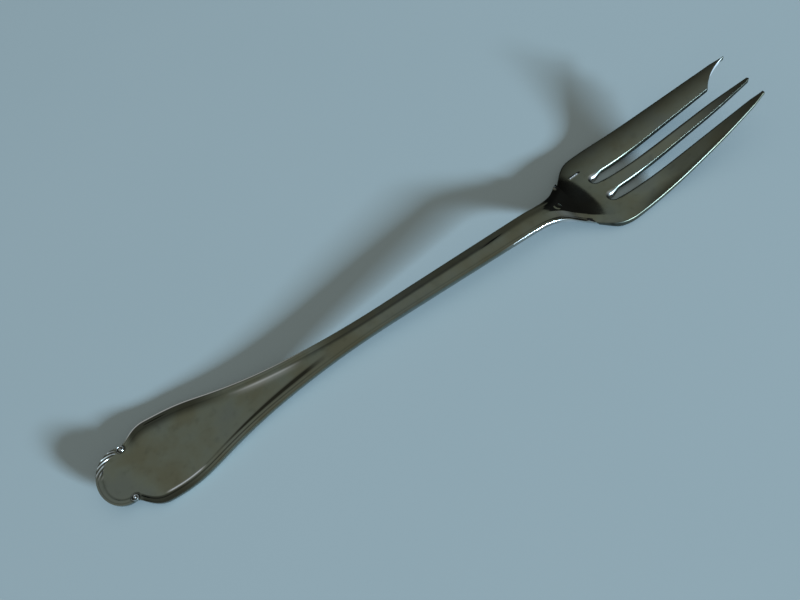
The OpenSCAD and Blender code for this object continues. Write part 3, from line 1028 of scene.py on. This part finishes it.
        # The walls' painted shade and painted highlights, blended in over the rounding.
        walls, rubbed_and_highlit = self.wall_marks(full[edge], outwards)
        for k in range(2 * self.rounding_steps):
            blend = min(1.0, (k + 1) / 2)
            layer = slice(2 * count + k * rim, 2 * count + (k + 1) * rim)
            black_and_shade[layer] = mix(dark[edge], walls, blend)
            worn[layer] = blend * rubbed_and_highlit
        self.piece = make_piece(
            "head_pierced_blank",
            form.in_frame(points),
            faces,
            {"worn": np.clip(worn, 0, 1), "groove": black_and_shade, "filed": filed},
            self.finish.make(),
        )
        return self

    def root_slope(self, rim: Array) -> Array:
        """Returns how far the foot of the wall comes forward into the slots at their roots, as steps in plan."""
        x, y = rim[:, 0], rim[:, 1]
        step = np.zeros((len(rim), 2))
        for side in self.slot_sides:
            middle = side + self.slot_width / 2
            within = np.abs(y - middle) < self.slot_width / 2 + self.soft_edge + 0.1
            within &= x > self.form.neck + self.slot_root - 2
            amount = self.root_bevel * within * (1 - ease((x - self.root) / 4.5))
            left = ease((y - middle) / self.slot_width + 0.5)
            away = np.column_stack((np.maximum(0.0, self.root - x) + 0.6, middle - y))
            away /= np.hypot(away[:, :1], away[:, 1:])
            step += away * (amount * mix(0.25, 1.0, left))[:, None]
        return step

    def wall_marks(self, rim: Array, outwards: Array) -> tuple[Array, Array]:
        """Returns how black and how pale the walls are drawn, each between 0 and 1.

        Args:
            rim: Points along the top face's edge.
            outwards: Directions in plan in which the edge faces there.

        Returns:
            Painted shade and painted highlights: black where the wall faces left, the walls that face right dimmed,
                most
            along the slots away from their roots, and dark at the cutting tine's tip; paler along the slots' left
            walls near their roots and along the cut. The right shoulder's notch is darker too.
        """
        form = self.form
        x, y = rim[:, 0], rim[:, 1]
        inner = (y > self.slot_sides[0] - 1) & (y < self.slot_sides[1] + self.slot_width + 1.2)
        inner &= x > form.neck + self.slot_root - 1
        cut = (x > form.length - self.cut_length - 0.2) & (y > self.slot_sides[1] + self.slot_width - 1)
        cut &= outwards[:, 1] < 0.2
        right_facing = ease((-outwards[:, 1] - 0.1) / 0.5)
        # Painted shade: walls that face left are nearly black, and the walls that face right are dimmed, the slots'
        # most away from their roots.
        slot_wall = mix(0.15, 0.9, ease((x - self.root - 8) / 14))
        walls = mix(0.96, np.where(inner, slot_wall, mix(0.75, 0.6, ease((x - form.neck - 14) / 8))), right_facing)
        # Darker at the right shoulder's notch; painted shade dims the cutting tine's tip.
        notch = hump(x - form.neck - 3.4, 1.7) * (y < 0)
        shaded_tip = 0.95 * (1 - ease((form.length - 0.3 - x) / 2.2))
        walls = np.where(cut, shaded_tip, np.maximum(walls, 0.95 * notch))
        # Painted highlights: paler on the slots' left walls near their roots, and along the cut.
        bright = np.where(inner, 0.5 * hump(x - self.root + 0.5, 2.2) * right_facing, 0.0)
        return walls, np.where(cut, 0.9 * ease((form.length - 0.5 - x) / 2.5), bright)

    def tarnish_and_painted_shade(self, x: Array, y: Array) -> Array:
        """Returns how dark the top face is drawn, between 0 and 1.

        Args:
            x: Distances along the fork.
            y: Distances to the left.

        Returns:
            The share of black: painted shade towards the left edge, in a band along the right edge and in a thin line
            along each tine's left edge, and darker along the middle and outer tines towards their tips.
        """
        form = self.form
        from_left = form.left_line.at(x) - y
        from_right = form.right_line.at(x) + y
        # Painted shade: darker towards the left edge, and in a band along the right edge, where the metal mirrors the
        # dark room.
        dark = 0.95 * np.clip(1 - from_left / 10, 0, 1) ** 1.3
        band = 0.9 * np.clip(1 - from_right / 4.6, 0, 1) ** 1.2 * ease((x - form.neck - 9) / 12)
        right, left = self.slot_sides
        outer = y < right + 0.1
        middle = (y > right + self.slot_width - 0.1) & (y < left + 0.1)
        # The middle and outer tines darken along their length towards the tips.
        dark = np.where(middle & (x > self.root), 0.95 * ease((x - form.length + 34) / 32), dark)
        spread = 0.5 * ease((x - form.neck - 22) / 12) + 0.45 * ease((x - form.neck - 36) / 30)
        dark = np.where(outer & (x > self.root), spread, dark)
        # Painted shade: a thin dark line along the palm's left edge and each tine's left edge.
        own_left = np.where(outer, right, np.where(middle, self.middle_side + self.middle_half(x), 99.0))
        own_left = np.where(x > self.root + 1, np.minimum(own_left, form.left_line.at(x)), form.left_line.at(x))
        keen = 0.95 * (1 - ease((own_left - y - 0.45) / 0.5)) * ease((x - form.neck) / 3)
        return np.clip(np.maximum(np.maximum(dark, band), keen), 0, 1)

    def ridge(self, x: Array, y: Array) -> Array:
        """Returns the height of the short tapered ridge that runs on from the left thread, between 0 and 1."""
        start, end = np.array(self.ridge_from), np.array(self.ridge_to)
        along = end - start
        share = ((x - start[0]) * along[0] + (y - start[1]) * along[1]) / (along @ along)
        away = np.abs((x - start[0]) * along[1] - (y - start[1]) * along[0]) / np.hypot(*along)
        return hump(away, 0.27) * ease(share / 0.12) * ease((1 - share) / 0.4)

    def dress(self) -> None:
        """Puts the head in the place of its solid."""
        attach(self.piece, "root")
        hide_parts("head")


@dataclass(frozen=True)
class Flag:
    """A dark screen that studios set up for silver, seen only as a reflection, as a block of directions."""

    colour_hex: str
    azimuth: float
    half_width: float
    top: float
    blur: float

    def cover(self, tree: bpy.types.NodeTree, outlook: bpy.types.NodeSocket, behind: bpy.types.Node) -> bpy.types.Node:
        """Lays the screen over what stands behind it.

        Args:
            tree: The node tree of the room.
            outlook: Socket with the direction that is looked in.
            behind: Node with the colours behind the screen.

        Returns:
            The node with the colours after that.
        """
        middle = math.radians(self.azimuth)
        flat = add_node(tree, "ShaderNodeVectorMath", {"operation": "MULTIPLY"}, {0: outlook, 1: (1.0, 1.0, 0.0)})
        flat = add_node(tree, "ShaderNodeVectorMath", {"operation": "NORMALIZE"}, {0: flat.outputs[0]})
        facing = (math.cos(middle), math.sin(middle), 0.0)
        turned = add_node(tree, "ShaderNodeVectorMath", {"operation": "DOT_PRODUCT"}, {0: flat.outputs[0], 1: facing})
        height = add_node(tree, "ShaderNodeSeparateXYZ", inputs={0: outlook})
        far, near = (math.radians(self.half_width + k * self.blur) for k in (1, -1))
        over, under = (math.radians(self.top + k * self.blur) for k in (1, -1))
        across = add_node(
            tree,
            "ShaderNodeMapRange",
            inputs={"Value": turned.outputs["Value"], "From Min": math.cos(far), "From Max": math.cos(near)},
        )
        below = add_node(
            tree,
            "ShaderNodeMapRange",
            inputs={"Value": height.outputs["Z"], "From Min": math.sin(over), "From Max": math.sin(under)},
        )
        inside = add_node(tree, "ShaderNodeMath", {"operation": "MULTIPLY"}, {0: across.outputs[0], 1: below.outputs[0]})
        return add_node(
            tree,
            "ShaderNodeMix",
            {"data_type": "RGBA"},
            {0: inside.outputs[0], 6: behind.outputs[2], 7: linear(self.colour_hex)},
        )


@dataclass
class Room:
    """The table, the soft room around it and the low window that lights the fork from its right."""

    table: PaintedTable = field(default_factory=PaintedTable)
    table_half: float = 1.2
    window_azimuth: float = -61.6
    window_elevation: float = 11.0
    window_distance: float = 6.0
    window_size: tuple[float, float] = (1.0, 0.56)
    window_power: float = 1480.0
    window_hex: str = "#CBE5FD"
    wall_hex: str = "#AFB3B0"
    ceiling_hex: str = "#BCBDBB"
    low_hex: str = "#878989"
    wide_flag: Flag = field(default_factory=lambda: Flag("#37383D", 30.0, 45.0, 31.9, 0.4))
    tall_flag: Flag = field(default_factory=lambda: Flag("#5D5B59", -108.0, 13.0, 62.0, 5.0))
    backdrop_hex: str = "#B9C8D2"

    def lay_table(self) -> None:
        """Lays the table top, a flat sheet at height zero."""
        h = self.table_half
        corners = [(-h, -h, 0.0), (h, -h, 0.0), (h, h, 0.0), (-h, h, 0.0)]
        mesh = bpy.data.meshes.new("table_top")
        mesh.from_pydata(corners, [], [(0, 1, 2, 3)])
        mesh.materials.append(self.table.make())
        top = bpy.data.objects.new("table_top", mesh)
        bpy.context.scene.collection.objects.link(top)

    def hang_window(self) -> None:
        """Hangs the window as a soft lamp, low on the fork's right."""
        lamp = bpy.data.lights.new("window", "AREA")
        lamp.shape = "RECTANGLE"
        lamp.size, lamp.size_y = self.window_size
        lamp.energy = self.window_power
        lamp.color = linear(self.window_hex)[:3]
        window = bpy.data.objects.new("window", lamp)
        around, up = math.radians(self.window_azimuth), math.radians(self.window_elevation)
        towards = Vector((math.cos(around) * math.cos(up), math.sin(around) * math.cos(up), math.sin(up)))
        window.location = towards * self.window_distance
        window.rotation_euler = towards.to_track_quat("Z", "Y").to_euler()
        bpy.context.scene.collection.objects.link(window)

    def paint_walls(self) -> None:
        """Gives the room its light: dusky walls, a paler ceiling and the two dark screens."""
        world = bpy.data.worlds.new("room")
        bpy.context.scene.world = world
        world.use_nodes = True
        tree = world.node_tree
        tree.nodes.clear()
        outlook = add_node(tree, "ShaderNodeTexCoord").outputs["Generated"]
        axes = add_node(tree, "ShaderNodeSeparateXYZ", inputs={0: outlook})
        ahead = add_node(
            tree,
            "ShaderNodeMapRange",
            {"interpolation_type": "SMOOTHSTEP"},
            {"Value": axes.outputs["Y"], "From Min": 0.25, "From Max": 0.75},
        )
        low = add_node(
            tree,
            "ShaderNodeMapRange",
            {"interpolation_type": "SMOOTHSTEP"},
            {"Value": axes.outputs["Z"], "From Min": 0.75, "From Max": 0.35},
        )
        duskier = add_node(
            tree, "ShaderNodeMath", {"operation": "MULTIPLY"}, {0: ahead.outputs[0], 1: low.outputs[0]}
        )
        height = add_node(
            tree,
            "ShaderNodeMapRange",
            {"interpolation_type": "SMOOTHSTEP"},
            {"Value": axes.outputs["Z"], "From Min": 0.5, "From Max": 1.0},
        )
        walls = add_node(
            tree,
            "ShaderNodeMix",
            {"data_type": "RGBA"},
            {0: height.outputs[0], 6: linear(self.wall_hex), 7: linear(self.ceiling_hex)},
        )
        walls = add_node(
            tree,
            "ShaderNodeMix",
            {"data_type": "RGBA"},
            {0: duskier.outputs[0], 6: walls.outputs[2], 7: linear(self.low_hex)},
        )
        for flag in (self.wide_flag, self.tall_flag):
            walls = flag.cover(tree, outlook, walls)
        room = add_node(tree, "ShaderNodeBackground", inputs={"Color": walls.outputs[2], "Strength": 1.0})
        backdrop = add_node(
            tree, "ShaderNodeBackground", inputs={"Color": linear(self.backdrop_hex), "Strength": 1.0}
        )
        seen = add_node(tree, "ShaderNodeLightPath").outputs["Is Camera Ray"]
        both = add_node(tree, "ShaderNodeMixShader", inputs={0: seen, 1: room.outputs[0], 2: backdrop.outputs[0]})
        add_node(tree, "ShaderNodeOutputWorld", inputs={"Surface": both.outputs[0]})


@dataclass
class CloseUpCamera:
    """A compact camera held close over the fork's right side and rolled, as in the photograph."""

    place: tuple[float, float, float] = (-0.04158, -0.10643, 0.16382)
    aim: tuple[float, float, float] = (-0.01524, 0.00361, 0.0)
    roll: float = -19.766
    focal_length: float = 29.25

    def set_up(self) -> None:
        """Creates the camera and makes it the scene's own."""
        camera = bpy.data.cameras.new("close_up")
        camera.sensor_width = 36.0
        camera.lens = self.focal_length
        camera.clip_start = 0.005
        holder = bpy.data.objects.new("close_up", camera)
        ahead = (Vector(self.aim) - Vector(self.place)).normalized()
        level = ahead.cross(Vector((0.0, 0.0, 1.0))).normalized()
        upright = level.cross(ahead)
        turn = math.radians(self.roll)
        right = math.cos(turn) * level + math.sin(turn) * upright
        up = right.cross(ahead)
        holder.matrix_world = Matrix.Translation(self.place) @ Matrix((right, up, -ahead)).transposed().to_4x4()
        bpy.context.scene.collection.objects.link(holder)
        bpy.context.scene.camera = holder


def main() -> None:
    """Builds the camera, the room and the fork, in that order."""
    logging.basicConfig(level=logging.INFO, format="%(name)s: %(message)s")
    bpy.context.scene.view_settings.view_transform = "Standard"
    CloseUpCamera().set_up()
    room = Room()
    room.lay_table()
    room.hang_window()
    room.paint_walls()
    LOG.info("room laid out")
    form = ForkForm()
    pieces = (
        Handle(form, TarnishedSilverPlate("tarnished_silver_plate_handle")),
        Head(form, TarnishedSilverPlate("tarnished_silver_plate_head")),
    )
    for piece in pieces:
        piece.build().dress()
        LOG.info("%s built with %d points", piece.piece.name, len(piece.piece.data.vertices))


if __name__ == "__main__":
    main()
